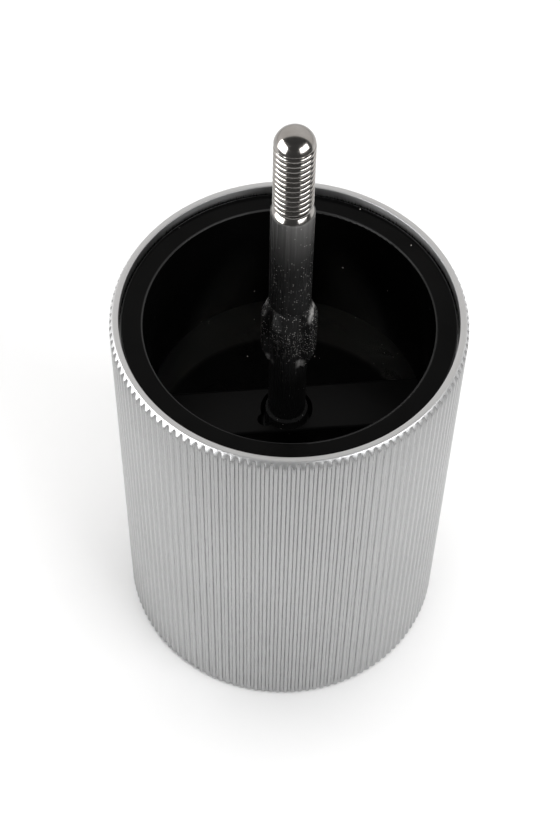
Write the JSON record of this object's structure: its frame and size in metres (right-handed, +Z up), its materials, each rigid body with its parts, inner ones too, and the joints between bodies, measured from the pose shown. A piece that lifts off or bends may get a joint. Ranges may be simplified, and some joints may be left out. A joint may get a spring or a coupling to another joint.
{
  "type": "hand mill body",
  "caption": "Body of a hand mill for pepper or salt with the head off: fluted metal sleeve, black hopper, burr mill in the base and a driven shaft with a threaded stud.",
  "frame": {"origin": "centre of the rubber foot's ring on the surface the mill stands on", "axes": "+Z up along the shaft's axis, +X along the bar that bridges the hopper, +Y to the side away from the notch in the bar's clearance hole"},
  "size_m": [0.055, 0.055, 0.1142],
  "materials": {
    "sleeve_aluminium": "satin anodised, fluted",
    "hopper_plastic": "moulded, glossy",
    "housing_plastic": "moulded, satin",
    "bridge_plastic": "moulded, satin",
    "bearing_plastic": "low-friction plastic, smooth",
    "washer_steel": "plain",
    "shaft_plastic": "moulded, satin, dusty",
    "bright_steel": "bright, turned and rolled",
    "spring_steel": "drawn wire",
    "spring_seat_plastic": "moulded",
    "slip_plastic": "low-friction plastic",
    "carrier_plastic": "moulded",
    "ceramic": "sintered, unglazed",
    "seal_rubber": "silicone",
    "screw_steel": "zinc plated",
    "base_plastic": "moulded, satin",
    "foot_rubber": "matt"
  },
  "bodies": {
    "mill_body": {"body_sleeve": "sleeve_aluminium", "hopper_liner": "hopper_plastic", "mill_housing": "housing_plastic", "bearing_bridge": "bridge_plastic", "bridge_bushing": "bearing_plastic", "shaft_thrust_washer": "washer_steel", "spring_washer": "washer_steel", "compression_spring": "spring_steel", "stator_burr": "ceramic", "stator_gasket": "seal_rubber", "stator_clamp_ring": "housing_plastic", "clamp_screws": "screw_steel", "base_ring": "base_plastic", "base_screws": "screw_steel", "foot_ring": "foot_rubber"},
    "spring_seat": {"spring_seat": "spring_seat_plastic"},
    "shaft": {"drive_shaft": "shaft_plastic", "shaft_cross_pin": "washer_steel", "threaded_rod": "bright_steel", "slip_disc": "slip_plastic", "rotor_carrier": "carrier_plastic", "rotor_burr": "ceramic", "rotor_washer": "washer_steel", "rotor_lock_nut": "washer_steel"}
  },
  "joints": [
    {"name": "grind_adjust", "type": "slide", "parent": "mill_body", "child": "spring_seat", "axis": [0, 0, 1], "range_m": [0, 0.0012], "stiffness_N_per_m": 600, "springref_m": -0.004, "deforming": ["compression_spring"]},
    {"name": "shaft_spin", "type": "hinge", "parent": "spring_seat", "child": "shaft", "pos_m": [0, 0, 0.05], "axis": [0, 0, 1], "continuous": true}
  ]
}
